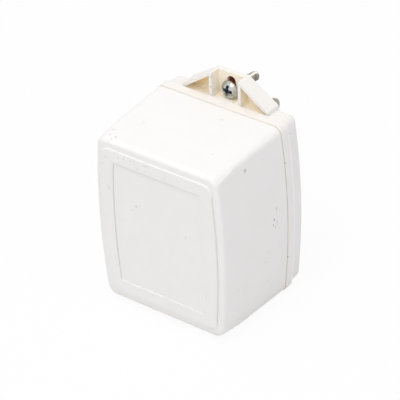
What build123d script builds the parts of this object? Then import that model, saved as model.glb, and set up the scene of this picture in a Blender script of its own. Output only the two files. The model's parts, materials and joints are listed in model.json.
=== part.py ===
from build123d import *
from math import acos, cos, radians, sin, sqrt, tan
import os

# A wall plug transformer: a two-piece moulded case with a screw ear, two flat blades, and a
# low-voltage winding brought out to two screw terminals in the underside.
# Millimetres. The origin is the middle of the face that lies against the wall.
# +Y goes into the wall, +Z is up, and +X is to the right as seen from the room.

# Iron core, stacked from E and I plates with the legs along X
leg = 16.0
stack = 20.0
core_clearance = 0.15
weld_depth = 0.5
weld_width = 2.0

# Room from the core to the outside of the case: each side, above, below, in front and behind
room_beside = 7.95
room_above = 7.0
room_below = 13.0
room_in_front = 11.9
room_behind = 13.7

# Case, with its outline where the two shells meet
bow_radius = 271.0
corner_radius = 3.1
inner_corner_radius = 0.5
draft = 2.2
wall = 2.0

# Rear shell's depth, and the lip and chamfered joint where the front shell meets it
rear_depth = 10.1
parting_gap = 0.06
joint_chamfer = 0.3
lip_length = 3.0
lip_thickness = 0.9
lip_clearance = 0.1

# Front face
front_edge_radius = 1.65
front_corner_radius = 4.3
front_corner_draft = 7.0
front_corner_room = 0.02
panel_side_margin = 2.35
panel_end_margin = 3.25
panel_corner_radius = 3.3
panel_height = 0.5
panel_edge = 0.2
recess_side_margin = 5.35
recess_end_margin = 5.05
recess_corner_radius = 0.4
recess_depth = 0.35

# Rear shell
rim_proud = 0.3
rim_depth = 3.7
rim_edge = 0.3
tier_inset = 0.75
tier_top_inset = 0.4
tier_draft = 3.0
tier_edge_radius = 1.25

# Screw ear on top of the rear shell
ear_height = 9.55
ear_depth = 6.1
ear_base_half_width = 18.05
ear_top_half_width = 6.2
ear_shoulder_height = 1.65
ear_wall = 0.93
ear_rib = 1.1
pocket_end_margin = 0.95
pocket_end_height = 0.7
ear_back_wall = 2.05
ear_floor_drop = 0.95
ear_shoulder_radius = 1.3
ear_foot_radius = 0.6
ear_top_radius = 0.6
notch_half_width = 5.5
slot_width = 3.55
slot_top_margin = 1.3
slot_rest_gap = 0.25
washer_seat_radius = 4.4
washer_seat_rise = 0.5
washer_seat_depth = 0.6

# Mounting screw, number 6-32, with a relieved neck for its washer. It hangs loose: its head rests
# on the notch's floor a little way out from the wall, and its end droops and points to the right.
screw_radius = 1.75
screw_length = 14.3
screw_neck_radius = 1.4
screw_neck_length = 3.2
screw_neck_bevel = 0.3
screw_droop = 5.6
screw_turn = 3.5
screw_pull = 0.38
screw_x = -0.2
screw_rest_gap = 0.05
screw_head_radius = 3.3
screw_head_height = 1.9
screw_head_side = 0.6
screw_point = 0.6
dome_knee_out = 0.72
dome_knee_up = 0.74
recess_span = 4.1
recess_wing = 1.0
recess_tip = 0.9
cross_depth = 1.5
cross_turn = 12.0
washer_radius = 4.0
washer_thickness = 0.5
washer_clearance = 0.08

# Flat blades, spaced for a two-pin wall outlet
blade_spacing = 12.7
blade_width = 6.35
blade_thickness = 1.52
blade_reach = 15.9
blade_below_slot = 14.6
blade_hole_radius = 1.6
blade_hole_from_wall = 11.7
blade_edge = 0.25
blade_clearance = 0.05
blade_pad = 1.5
blade_pad_margin = 2.6
shoulder_width = 8.6
shoulder_depth = 1.0
tab_width = 3.4
tab_thickness = 0.76
tab_reach = 1.6
tab_hole_radius = 0.6

# Retainer plate over the blade shoulders, held by two heat-staked pegs
retainer_thickness = 1.2
retainer_margin = 2.4
retainer_half_height = 5.2
peg_radius = 1.1
peg_spacing = 5.6
peg_head_radius = 1.6
peg_head_height = 0.6
peg_head_taper = 30.0
retainer_clearance = 0.06

# Bobbin on the middle leg, in two sections
bobbin_clearance = 0.2
bobbin_wall = 1.0
flange_thickness = 1.0
flange_end_clearance = 0.1
flange_window_clearance = 0.3
flange_depth_margin = 0.8
winding_below_flange = 1.3
winding_corner = 3.5
winding_side_clearance = 0.05
tape_thickness = 0.3
rail_height = 3.0
rail_depth = 5.6
rail_core_clearance = 0.5
pin_radius = 0.5
pin_reach = 3.0
pin_inset = 2.0
pin_depth_in_rail = 2.0

# Thermal cut-off on the primary winding
cutoff_radius = 1.75
cutoff_length = 8.4
cutoff_bead = 0.9
cutoff_bead_radius = 1.05
cutoff_bead_draft = 20.0
cutoff_edge = 0.4
cutoff_height = 8.0
sleeve_wall = 0.2
sleeve_clearance = 0.05
cutoff_wire_radius = 0.4

# Insulated leads
lead_radius = 0.65
lead_bend = 1.4
lead_dip = 2.4
lead_spread = 0.8
lead_behind_core = 2.6
wire_side_room = 2.2
wire_end_loop = 4.0
wire_below_tab = 6.5
wire_end_inset = 0.3
joint_gap = 0.05
lead_block_gap = 0.3

# Terminal block in the underside
block_half_width = 14.4
block_depth = 14.4
block_behind_core = 0.1
block_below_core = 2.7
block_recess = 1.0
block_clearance = 0.1
block_ledge = 1.4
block_ledge_thickness = 1.0
block_divider = 2.2
block_wall = 1.5
block_rear_wall = 2.2
block_ceiling = 1.4
plate_thickness = 1.0
plate_clearance = 0.15
tang_width = 4.0
tang_thickness = 0.8
tang_reach = 1.5
tang_slot_clearance = 0.08
terminal_screw_radius = 1.75
terminal_screw_length = 3.6
terminal_head_radius = 3.6
terminal_head_height = 1.7
terminal_head_edge = 0.4
terminal_point = 0.4
terminal_slot_turn = 35.0
terminal_slot_width = 1.1
terminal_slot_depth = 0.9
terminal_hole_radius = 1.82

# Ribs that hold the core inside the case
rib = 1.6
post_width = 3.6
post_height = 4.6

# Core and case, worked out from the sizes above
core_half_width = 1.25 * leg
core_half_height = 1.5 * leg
window_half_length = 0.75 * leg
half_width = core_half_width + room_beside
half_height = core_half_height + (room_above + room_below) / 2
core_height_middle = (room_below - room_above) / 2
core_back = -room_behind
core_front = core_back - stack
core_middle = core_back - stack / 2
core_top = core_height_middle + core_half_height
core_bottom = core_height_middle - core_half_height
parting = -rear_depth
face = core_front - room_in_front
front_depth = parting - face
front_inside = face + wall
rim_back = parting + rim_depth
rear_inside = -wall
face_shrink = front_depth * tan(radians(draft))
panel_half_width = half_width - face_shrink - panel_side_margin
panel_half_height = half_height - face_shrink - panel_end_margin
recess_half_width = panel_half_width - recess_side_margin
recess_half_height = panel_half_height - recess_end_margin

# Ear, screw and blades
ear_floor = half_height + rim_proud - ear_floor_drop
ear_top = ear_floor + ear_height
ear_slope = (ear_height - ear_shoulder_height) / (ear_base_half_width - ear_top_half_width)
notch_back = -ear_back_wall
droop = radians(screw_droop)
turn = radians(screw_turn)
tilt = acos(cos(droop) * cos(turn))
screw_y = notch_back - screw_head_radius * sin(droop) - screw_pull
screw_height = ear_floor + screw_head_radius * cos(droop) + screw_rest_gap
neck_at_seat = screw_height + (washer_seat_depth + screw_y) * tan(droop) / cos(turn)
slot_high = ear_top - slot_top_margin
slot_low = neck_at_seat - screw_neck_radius - slot_rest_gap
slot_middle = (slot_high + slot_low) / 2
blade_height = slot_middle - blade_below_slot
blade_x = blade_spacing / 2
pad_inside = rear_inside - blade_pad
shoulder_inside = pad_inside - shoulder_depth
retainer_inside = shoulder_inside - retainer_thickness
tab_end = retainer_inside - tab_reach

# Bobbin and windings
tube_half_height = leg / 2 + bobbin_clearance + bobbin_wall
tube_half_depth = stack / 2 + bobbin_clearance + bobbin_wall
flange_half_height = leg - flange_window_clearance
coil_half_height = flange_half_height - winding_below_flange
winding_build = coil_half_height - tube_half_height
coil_half_depth = tube_half_depth + winding_build
flange_half_depth = coil_half_depth + flange_depth_margin
bobbin_half_length = window_half_length - flange_end_clearance
section_inner = flange_thickness / 2 + winding_side_clearance
section_outer = bobbin_half_length - flange_thickness - winding_side_clearance
rail_back = core_middle + flange_half_depth - flange_depth_margin
rail_front = max(rail_back - rail_depth, core_back + rail_core_clearance)
pin_y = (rail_front + rail_back) / 2
coil_back = core_middle + coil_half_depth + tape_thickness
cutoff_y = coil_back + cutoff_radius + sleeve_wall + 2 * sleeve_clearance

# Terminal block
block_rear = -(core_back + block_behind_core)
block_front = block_rear + block_depth
block_top = block_below_core - core_bottom
block_bottom = -(half_height - block_recess)
plate_top = -block_top - block_ceiling
plate_bottom = plate_top - plate_thickness
well_front = -block_front + block_wall
well_rear = -block_rear - block_rear_wall
well_inner = block_divider / 2
well_outer = block_half_width - block_wall
well_middle = (well_inner + well_outer) / 2
well_y = (well_front + well_rear) / 2
tang_rear = -block_rear - (block_rear_wall - tang_thickness) / 2
tang_front = tang_rear - tang_thickness
tang_top = -block_top + tang_reach


def facing_room(y):
    """Plane across the depth axis, drawn as seen from the room."""
    return Plane.XZ.offset(-y)


def facing_wall(y):
    """Plane across the depth axis whose normal points into the wall."""
    return Plane(origin=(0, y, 0), x_dir=(-1, 0, 0), z_dir=(0, 1, 0))


def facing_side(x):
    """Plane across the width axis, with Y to the right and Z up."""
    return Plane(origin=(x, 0, 0), x_dir=(0, 1, 0), z_dir=(1, 0, 0))


def block(low, high):
    """Box between two corners."""
    size = [high[i] - low[i] for i in range(3)]
    middle = [(high[i] + low[i]) / 2 for i in range(3)]
    return Pos(*middle) * Box(*size)


def barrel(width, height, radius):
    """Outline with a flat top and bottom and slightly bowed sides."""
    corner_x = width - (bow_radius - sqrt(bow_radius**2 - height**2))
    top = Line((-corner_x, height), (corner_x, height))
    right = ThreePointArc((corner_x, height), (width, 0), (corner_x, -height))
    bottom = Line((corner_x, -height), (-corner_x, -height))
    left = ThreePointArc((-corner_x, -height), (-width, 0), (-corner_x, height))
    outline = make_face(top + right + bottom + left)
    return fillet(outline.vertices(), radius)


def case_at(y, inset):
    """Case outline at depth y in the front shell, moved inwards by inset."""
    shrink = (parting - y) * tan(radians(draft)) + inset
    return facing_room(y) * barrel(
        half_width - shrink,
        half_height - shrink,
        max(corner_radius - shrink, inner_corner_radius),
    )


def drafted(y_back, y_front, inset):
    """Front shell form between two depths, widening from the room side to the wall side."""
    return extrude(case_at(y_front, inset), y_front - y_back, taper=-draft)


def front_shell():
    """Cup with a raised panel, core ribs and a window for the terminal block."""
    edge = parting - parting_gap / 2
    grow = front_corner_room - face_shrink
    corners = facing_room(face) * barrel(half_width + grow, half_height + grow, front_corner_radius)
    outer = drafted(edge, face, 0) & extrude(corners, face - edge, taper=-front_corner_draft)
    outer = fillet(outer.faces().sort_by(Axis.Y)[0].edges(), front_edge_radius)
    outer = chamfer(outer.faces().sort_by(Axis.Y)[-1].edges(), joint_chamfer)

    panel = facing_room(face) * barrel(panel_half_width, panel_half_height, panel_corner_radius)
    raised = extrude(panel, panel_height)
    raised = chamfer(raised.faces().sort_by(Axis.Y)[0].edges(), panel_edge)
    recess = facing_room(face - panel_height) * barrel(
        recess_half_width, recess_half_height, recess_corner_radius
    )
    shell = outer + raised - extrude(recess, -recess_depth)

    shell -= drafted(edge, front_inside, wall)
    lip_seat = extrude(
        facing_room(edge) * barrel(*lip_outline(lip_clearance)), lip_length + lip_clearance
    )
    shell -= lip_seat

    ribs = core_ribs() & drafted(edge - lip_length - 2 * lip_clearance, face, wall / 2)
    shell += ribs

    window = block(
        (-block_half_width - block_clearance, -block_front - block_clearance, -half_height - 1),
        (block_half_width + block_clearance, -block_rear + block_clearance, -block_top),
    )
    return shell - window


def core_ribs():
    """Ribs and posts of the front shell that locate the iron core."""
    pieces = Part()
    for side in (-1, 1):
        for level in (-1, 1):
            post_z = core_height_middle + level * (core_half_height - post_height / 2)
            post_x = side * (core_half_width - post_width / 2)
            pieces += block(
                (post_x - post_width / 2, face, post_z - post_height / 2),
                (post_x + post_width / 2, core_front - core_clearance, post_z + post_height / 2),
            )
            near = core_half_width + core_clearance
            pieces += block(
                (min(side * near, side * half_width), face, post_z - rib / 2),
                (max(side * near, side * half_width), core_back, post_z + rib / 2),
            )
        rib_x = side * (core_half_width - rib)
        pieces += block(
            (rib_x - rib / 2, face, core_top + core_clearance),
            (rib_x + rib / 2, core_back, half_height),
        )
        pieces += block(
            (rib_x - rib / 2, face, -half_height),
            (rib_x + rib / 2, core_back, core_bottom - core_clearance),
        )
    return pieces


def lip_outline(grow):
    """Outer outline of the rear shell's lip, or of its seat when grown."""
    inset = wall - lip_thickness + lip_clearance - grow
    return half_width - inset, half_height - inset, corner_radius - inset


def ear_outline():
    """Outer outline of the screw ear, seen from the room."""
    shoulder = ear_floor + ear_shoulder_height
    points = [
        (-ear_base_half_width, ear_floor - wall),
        (-ear_base_half_width, shoulder),
        (-ear_top_half_width, ear_top),
        (ear_top_half_width, ear_top),
        (ear_base_half_width, shoulder),
        (ear_base_half_width, ear_floor - wall),
    ]
    return make_face(Polyline(*points, close=True))


def at_shoulder(edge):
    """Whether an edge lies at one of the ear's lower outer corners."""
    place = edge.center()
    return abs(abs(place.X) - ear_base_half_width) < 0.1 and place.Z > ear_floor


def at_foot(edge):
    """Whether an edge is where an end of the ear stands on the shell behind the rim."""
    place = edge.center()
    beside = abs(abs(place.X) - ear_base_half_width) < 0.1
    return beside and half_height - wall < place.Z < half_height and -ear_depth < place.Y < -0.1


def pocket_outline():
    """Right-hand pocket of the ear, under its sloping wall and lowest at its outer end."""
    drop = ear_wall * sqrt(1 + ear_slope**2)
    inner = notch_half_width + ear_rib
    inner_top = ear_top - (inner - ear_top_half_width) * ear_slope - drop
    outer = ear_base_half_width - pocket_end_margin
    outer_top = ear_floor + pocket_end_height
    points = [(inner, ear_floor), (inner, inner_top), (outer, outer_top), (outer, ear_floor)]
    return make_face(Polyline(*points, close=True))


def rear_shell():
    """Back cover with its rim, stepped back, screw ear, blade slots and core posts."""
    edge = parting + parting_gap / 2
    rim_face = facing_wall(edge) * barrel(
        half_width + rim_proud, half_height + rim_proud, corner_radius + rim_proud
    )
    rim = extrude(rim_face, rim_back - edge)
    rim = chamfer(rim.faces().sort_by(Axis.Y)[-1].edges(), rim_edge)
    rim = chamfer(rim.faces().sort_by(Axis.Y)[0].edges(), joint_chamfer)
    tier_face = facing_wall(edge) * barrel(
        half_width + rim_proud - tier_inset, half_height + rim_proud - tier_top_inset, corner_radius
    )
    tier = extrude(tier_face, -edge, taper=tier_draft)
    tier = fillet(tier.faces().sort_by(Axis.Y)[-1].edges(), tier_edge_radius)
    lip = extrude(facing_room(rim_back) * barrel(*lip_outline(0)), rim_back - parting + lip_length)
    ear = extrude(facing_room(0) * ear_outline(), ear_depth)
    upright = ear.edges().filter_by(Axis.Y).sort_by(Axis.Z)
    ear = fillet(upright[-2:], ear_top_radius)
    upright = ear.edges().filter_by(Axis.Y).filter_by(at_shoulder)
    ear = fillet(upright, ear_shoulder_radius)
    body = tier + ear
    body = fillet(body.edges().filter_by(at_foot), ear_foot_radius)
    shell = body + rim + lip

    lip_inset = wall + lip_clearance
    hollow = facing_room(rear_inside) * barrel(
        half_width - lip_inset,
        half_height - lip_inset,
        max(corner_radius - lip_inset, inner_corner_radius),
    )
    shell -= extrude(hollow, rear_depth + lip_length)

    shell -= block(
        (-notch_half_width, rim_back, ear_floor),
        (notch_half_width, notch_back, ear_top + 1),
    )
    pocket = extrude(facing_room(notch_back) * pocket_outline(), notch_back - rim_back)
    shell -= pocket
    shell -= mirror(pocket, Plane.YZ)
    shell -= screw_slot()

    for side in (-1, 1):
        pad_half_width = blade_thickness + blade_pad_margin / 2
        pad_half_height = blade_width / 2 + blade_pad_margin
        shell += block(
            (side * blade_x - pad_half_width, pad_inside, blade_height - pad_half_height),
            (side * blade_x + pad_half_width, rear_inside, blade_height + pad_half_height),
        )
    for side in (-1, 1):
        shell -= block(
            (
                side * blade_x - blade_thickness / 2 - blade_clearance,
                pad_inside - 1,
                blade_height - blade_width / 2 - blade_clearance,
            ),
            (
                side * blade_x + blade_thickness / 2 + blade_clearance,
                1,
                blade_height + blade_width / 2 + blade_clearance,
            ),
        )
    return shell + retainer_pegs() + rear_posts()


def screw_slot():
    """Slot through the ear's back wall, with the washer's seat behind it."""
    slot = facing_room(1) * Pos(0, slot_middle) * Rot(0, 0, 90) * SlotOverall(
        slot_high - slot_low, slot_width
    )
    seat = facing_room(1) * Pos(0, neck_at_seat + washer_seat_rise / 2) * Rot(0, 0, 90) * SlotOverall(
        2 * washer_seat_radius + washer_seat_rise, 2 * washer_seat_radius
    )
    return extrude(slot, ear_back_wall + 2) + extrude(seat, 1 + washer_seat_depth)


def retainer_pegs():
    """Two pegs with staked heads that hold the blade retainer."""
    pegs = Part()
    for side in (-1, 1):
        peg_z = blade_height + side * peg_spacing / 2
        pegs += Pos(0, 0, peg_z) * extrude(
            facing_room(rear_inside) * Circle(peg_radius), rear_inside - retainer_inside
        )
        under_head = facing_room(retainer_inside - retainer_clearance) * Circle(peg_head_radius)
        pegs += Pos(0, 0, peg_z) * extrude(under_head, peg_head_height, taper=peg_head_taper)
        pegs += Pos(0, 0, peg_z) * extrude(
            facing_room(retainer_inside) * Circle(peg_radius), retainer_clearance
        )
    return pegs


def rear_posts():
    """Four posts that press on the back of the core."""
    posts = Part()
    for side in (-1, 1):
        for level in (-1, 1):
            post_z = core_height_middle + level * (core_half_height - post_height / 2)
            post_x = side * (core_half_width - post_width / 2)
            posts += block(
                (post_x - post_width / 2, core_back + core_clearance, post_z - post_height / 2),
                (post_x + post_width / 2, rear_inside, post_z + post_height / 2),
            )
    return posts


def blade(side):
    """Flat blade with a round end, a shoulder inside the case and a solder tab."""
    straight = blade_reach - pad_inside - blade_width / 2
    profile = Pos(pad_inside + straight / 2, blade_height) * Rectangle(straight, blade_width)
    profile += Pos(blade_reach - blade_width / 2, blade_height) * Circle(blade_width / 2)
    plate = extrude(facing_side(side * blade_x - blade_thickness / 2) * profile, blade_thickness)
    outside = plate.edges().filter_by(lambda e: e.center().Y > 0.5 and abs(e.tangent_at(0.5).X) < 0.1)
    plate = chamfer(outside, blade_edge)
    shoulder = block(
        (side * blade_x - blade_thickness / 2, shoulder_inside, blade_height - shoulder_width / 2),
        (side * blade_x + blade_thickness / 2, pad_inside, blade_height + shoulder_width / 2),
    )
    tab = block(
        (side * blade_x - tab_thickness / 2, tab_end, blade_height - tab_width / 2),
        (side * blade_x + tab_thickness / 2, shoulder_inside, blade_height + tab_width / 2),
    )
    hole = Pos(side * blade_x, blade_hole_from_wall, blade_height) * Rot(0, 90, 0) * Cylinder(
        blade_hole_radius, 2 * blade_thickness
    )
    tab_hole = Pos(side * blade_x, tab_end + tab_reach / 2, blade_height) * Rot(0, 90, 0) * Cylinder(
        tab_hole_radius, 2 * blade_thickness
    )
    return plate + shoulder + tab - hole - tab_hole


def blade_retainer():
    """Fibre plate over the blade shoulders, pierced for the tabs and pegs."""
    half = blade_x + retainer_margin
    plate = block(
        (-half, retainer_inside, blade_height - retainer_half_height),
        (half, shoulder_inside - joint_gap, blade_height + retainer_half_height),
    )
    for side in (-1, 1):
        plate -= block(
            (
                side * blade_x - tab_thickness / 2 - retainer_clearance,
                retainer_inside - 1,
                blade_height - tab_width / 2 - retainer_clearance,
            ),
            (
                side * blade_x + tab_thickness / 2 + retainer_clearance,
                shoulder_inside + 1,
                blade_height + tab_width / 2 + retainer_clearance,
            ),
        )
        plate -= Pos(0, 0, blade_height + side * peg_spacing / 2) * extrude(
            facing_room(0) * Circle(peg_radius + retainer_clearance), rear_depth
        )
    return plate


def screw_axis():
    """Plane at the middle of the screw head's underside, its normal along the shank."""
    return Plane(
        origin=(screw_x, screw_y, screw_height),
        x_dir=(cos(turn), -sin(turn), 0),
        z_dir=(sin(turn) * cos(droop), cos(turn) * cos(droop), -sin(droop)),
    )


def screw_middle(y):
    """Width and height of the screw's axis at depth y."""
    return screw_x + (y - screw_y) * tan(turn), screw_height - (y - screw_y) * tan(droop) / cos(turn)


def mounting_screw():
    """Pan head screw with a cross recess, drooping in its slot."""
    dome_top = -screw_head_height
    side = -screw_head_side
    outline = Polyline(
        (0, screw_length),
        (screw_radius - screw_point, screw_length),
        (screw_radius, screw_length - screw_point),
        (screw_radius, screw_neck_length + screw_neck_bevel),
        (screw_neck_radius, screw_neck_length),
        (screw_neck_radius, 0),
        (screw_head_radius, 0),
        (screw_head_radius, side),
    )
    dome = ThreePointArc(
        (screw_head_radius, side),
        (dome_knee_out * screw_head_radius, side + dome_knee_up * (dome_top - side)),
        (0, dome_top),
    )
    section = make_face(outline + dome + Line((0, dome_top), (0, screw_length)))
    body = revolve(Plane.XZ * section, Axis.Z)
    wing = Rectangle(3 * recess_span, recess_wing) + Rectangle(recess_wing, 3 * recess_span)
    cross = Pos(0, 0, dome_top - cross_depth) * extrude(Rot(0, 0, cross_turn) * wing, 2 * cross_depth)
    point = Pos(0, 0, dome_top) * Cone(recess_span - recess_tip, recess_tip, 2 * cross_depth)
    body -= cross & point
    return screw_axis() * body


def retaining_washer():
    """Fibre washer behind the ear that keeps the screw in its slot."""
    bore = screw_neck_radius / cos(tilt) + washer_thickness * tan(tilt) / 2 + washer_clearance
    ring = Circle(washer_radius) - Circle(bore)
    middle = screw_middle(-washer_seat_depth + washer_thickness / 2)
    ring = facing_room(-washer_seat_depth + washer_thickness) * Pos(*middle) * ring
    return extrude(ring, washer_thickness)


def core_window_piece(low_x, high_x):
    """Full-height slab of the core between two widths."""
    return block((low_x, core_front, core_bottom), (high_x, core_back, core_top))


def e_laminations():
    """Stack of E plates: a back and three legs, welded across the outside."""
    middle = core_height_middle
    stack_e = core_window_piece(-core_half_width, window_half_length)
    for level in (-1, 1):
        near = middle + level * leg / 2
        far = middle + level * leg
        stack_e -= block(
            (-window_half_length, core_front - 1, min(near, far)),
            (window_half_length + 1, core_back + 1, max(near, far)),
        )
    return stack_e - weld_groove(-1)


def i_laminations():
    """Stack of I plates that closes the ends of the legs."""
    return core_window_piece(window_half_length, core_half_width) - weld_groove(1)


def weld_groove(side):
    """Shallow groove across the stack, in which the plates are welded."""
    x = side * core_half_width
    return block(
        (x - weld_depth, core_front - 1, core_height_middle - weld_width / 2),
        (x + weld_depth, core_back + 1, core_height_middle + weld_width / 2),
    )


def coil_section(half_depth, half_height, radius):
    """Rounded rectangle across the middle leg, with Y to the right and Z up."""
    return Pos(core_middle, core_height_middle) * RectangleRounded(2 * half_depth, 2 * half_height, radius)


def bobbin():
    """Two-section bobbin with pin rails over and under the rear of the coil."""
    tube = extrude(
        facing_side(-bobbin_half_length) * coil_section(tube_half_depth, tube_half_height, bobbin_wall),
        2 * bobbin_half_length,
    )
    body = tube
    for x in (-bobbin_half_length, -flange_thickness / 2, bobbin_half_length - flange_thickness):
        body += extrude(
            facing_side(x) * coil_section(flange_half_depth, flange_half_height, bobbin_wall),
            flange_thickness,
        )
    for side in (-1, 1):
        near = core_height_middle - side * flange_half_height
        far = near - side * rail_height
        body += block(
            (min(0, side * bobbin_half_length), rail_front, min(near, far)),
            (max(0, side * bobbin_half_length), rail_back, max(near, far)),
        )
        for x in pin_places(side):
            body -= Pos(x, pin_y, far) * Cylinder(
                pin_radius, 2 * pin_depth_in_rail
            )
    opening = Pos(core_middle, core_height_middle) * Rectangle(
        stack + 2 * bobbin_clearance, leg + 2 * bobbin_clearance
    )
    return body - extrude(facing_side(-core_half_width) * opening, 2 * core_half_width)


def pin_places(side):
    """Widths of the two pins on the primary rail (side -1) or the secondary rail (side 1)."""
    return side * pin_inset, side * (bobbin_half_length - pin_inset)


def pins(side):
    """Two wire pins pressed into a rail of the bobbin."""
    far = core_height_middle - side * (flange_half_height + rail_height)
    group = []
    for x in pin_places(side):
        start = far + side * pin_depth_in_rail
        end = far - side * pin_reach
        group.append(Pos(x, pin_y, (start + end) / 2) * Cylinder(pin_radius, abs(end - start)))
    return Compound(group)


def winding(side):
    """Wound copper in one section of the bobbin."""
    ring = coil_section(coil_half_depth, coil_half_height, winding_corner)
    ring -= coil_section(tube_half_depth, tube_half_height, bobbin_wall)
    start = min(side * section_inner, side * section_outer)
    return extrude(facing_side(start) * ring, section_outer - section_inner)


def winding_tape(side):
    """Tape wrapped round a winding."""
    ring = coil_section(
        coil_half_depth + tape_thickness, coil_half_height + tape_thickness, winding_corner + tape_thickness
    )
    ring -= coil_section(coil_half_depth, coil_half_height, winding_corner)
    start = min(side * section_inner, side * section_outer)
    return extrude(facing_side(start) * ring, section_outer - section_inner)


def cutoff_ends():
    """Left and right ends of the thermal cut-off's case."""
    middle = -(section_inner + section_outer) / 2
    return middle - cutoff_length / 2, middle + cutoff_length / 2


def thermal_cutoff():
    """Small metal can with a sealing bead at one end."""
    left, right = cutoff_ends()
    can = extrude(facing_side(left) * Pos(cutoff_y, cutoff_height) * Circle(cutoff_radius), cutoff_length)
    can = chamfer(can.faces().sort_by(Axis.X)[0].edges(), cutoff_edge)
    bead_face = facing_side(right) * Pos(cutoff_y, cutoff_height) * Circle(cutoff_bead_radius)
    bead = extrude(bead_face, cutoff_bead, taper=cutoff_bead_draft)
    return can + bead


def cutoff_sleeve():
    """Insulating sleeve over the cut-off."""
    left, right = cutoff_ends()
    inner = cutoff_radius + sleeve_clearance
    ring = Circle(inner + sleeve_wall) - Circle(inner)
    return extrude(facing_side(left) * Pos(cutoff_y, cutoff_height) * ring, right - left)


def lead(points, radius):
    """Wire along straight runs joined by arcs."""
    path = FilletPolyline(*points, radius=lead_bend)
    section = Plane(origin=path @ 0, z_dir=path % 0) * Circle(radius)
    return sweep(section, path=path)


def primary_leads():
    """Leads from the blades to the primary pins, one of them through the cut-off."""
    left, right = cutoff_ends()
    near_pin, far_pin = pin_places(-1)
    pin_z = core_height_middle + flange_half_height + rail_height + pin_reach / 2
    beside_tab = blade_x - tab_thickness / 2 - lead_radius - joint_gap
    tab_y = tab_end + lead_radius
    live = lead(
        [
            (-beside_tab, tab_y, blade_height),
            (-beside_tab + lead_spread, tab_y - lead_dip, blade_height + lead_spread),
            (near_pin - pin_radius - lead_radius - joint_gap, pin_y, pin_z),
        ],
        lead_radius,
    )
    wire_gap = cutoff_wire_radius + joint_gap
    to_pin = lead(
        [
            (left - joint_gap, cutoff_y, cutoff_height),
            (-bobbin_half_length - wire_side_room, cutoff_y, cutoff_height + lead_spread),
            (-bobbin_half_length - wire_side_room, pin_y, pin_z - lead_dip),
            (-bobbin_half_length - wire_side_room / 2, pin_y, pin_z),
            (far_pin - pin_radius - wire_gap, pin_y, pin_z),
        ],
        cutoff_wire_radius,
    )
    to_blade = lead(
        [
            (right + cutoff_bead + joint_gap, cutoff_y, cutoff_height),
            (right + cutoff_bead + wire_end_loop, cutoff_y, cutoff_height),
            (blade_x - tab_thickness / 2 - wire_gap, tab_end + wire_end_inset, blade_height - wire_below_tab),
            (blade_x - tab_thickness / 2 - wire_gap, tab_end + wire_end_inset, blade_height),
        ],
        cutoff_wire_radius,
    )
    return live, to_pin, to_blade


def secondary_lead(index):
    """Lead from a secondary pin down to a terminal tang."""
    pin_x = pin_places(1)[index]
    tang_x = (-well_middle, well_middle)[index]
    pin_z = core_height_middle - flange_half_height - rail_height - pin_reach / 2
    start_x = pin_x - pin_radius - lead_radius - joint_gap
    end_z = -block_top + lead_radius + lead_block_gap
    return lead(
        [
            (start_x, pin_y, pin_z),
            (start_x - lead_spread, pin_y + lead_spread, pin_z - lead_dip),
            (tang_x, core_back + lead_behind_core, end_z),
            (tang_x, tang_rear + joint_gap, end_z),
        ],
        lead_radius,
    )


def terminal_block():
    """Moulded block with two wells, a divider and a ledge that rests in the case."""
    body = block((-block_half_width, -block_front, block_bottom), (block_half_width, -block_rear, -block_top))
    body += block(
        (-well_inner, -block_front, -block_top),
        (well_inner, -block_rear, core_bottom - core_clearance),
    )
    ledge_low = -(half_height - wall - (block_front + parting) * tan(radians(draft))) + joint_gap
    body += block(
        (-block_half_width - block_ledge, -block_front - block_ledge, ledge_low),
        (block_half_width + block_ledge, -block_rear, ledge_low + block_ledge_thickness),
    )
    for side in (-1, 1):
        inner, outer = sorted((side * well_inner, side * well_outer))
        body -= block((inner, well_front, block_bottom - 1), (outer, well_rear, plate_top))
        body -= Pos(side * well_middle, well_y, plate_top) * Cylinder(terminal_hole_radius, 4 * block_ceiling)
        slot = tang_width / 2 + tang_slot_clearance
        body -= block(
            (side * well_middle - slot, tang_front - tang_slot_clearance, plate_bottom - plate_clearance),
            (side * well_middle + slot, tang_rear + tang_slot_clearance, -block_top + 1),
        )
        body -= block(
            (side * well_middle - slot, well_rear - 1, plate_bottom - plate_clearance),
            (side * well_middle + slot, tang_rear + tang_slot_clearance, plate_top),
        )
    return body


def terminal_plate(side):
    """Brass plate on the floor of a well, with a tapped hole and a solder tang."""
    inner, outer = sorted((side * (well_inner + plate_clearance), side * (well_outer - plate_clearance)))
    plate = block(
        (inner, well_front + plate_clearance, plate_bottom), (outer, well_rear - plate_clearance, plate_top)
    )
    middle = side * well_middle
    left = middle - tang_width / 2
    right = middle + tang_width / 2
    plate += block((left, well_rear - 1, plate_bottom), (right, tang_rear, plate_top))
    plate += block((left, tang_front, plate_bottom), (right, tang_rear, tang_top))
    return plate - Pos(middle, well_y, plate_top) * Cylinder(terminal_hole_radius, 4 * plate_thickness)


def terminal_screw(side):
    """Slotted binding screw, its head down in the well."""
    middle = side * well_middle
    head = Pos(middle, well_y, plate_bottom - terminal_head_height / 2) * Cylinder(
        terminal_head_radius, terminal_head_height
    )
    head = chamfer(head.faces().sort_by(Axis.Z)[0].edges(), terminal_head_edge)
    shank = Pos(middle, well_y, plate_bottom + terminal_screw_length / 2) * Cylinder(
        terminal_screw_radius, terminal_screw_length
    )
    shank = chamfer(shank.faces().sort_by(Axis.Z)[-1].edges(), terminal_point)
    low = plate_bottom - terminal_head_height
    slot = Pos(middle, well_y, low) * Rot(0, 0, terminal_slot_turn * side) * Box(
        3 * terminal_head_radius, terminal_slot_width, 2 * terminal_slot_depth
    )
    return head + shank - slot


def save(name, shape):
    export_step(shape, f"parts/{name}.step")


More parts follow.
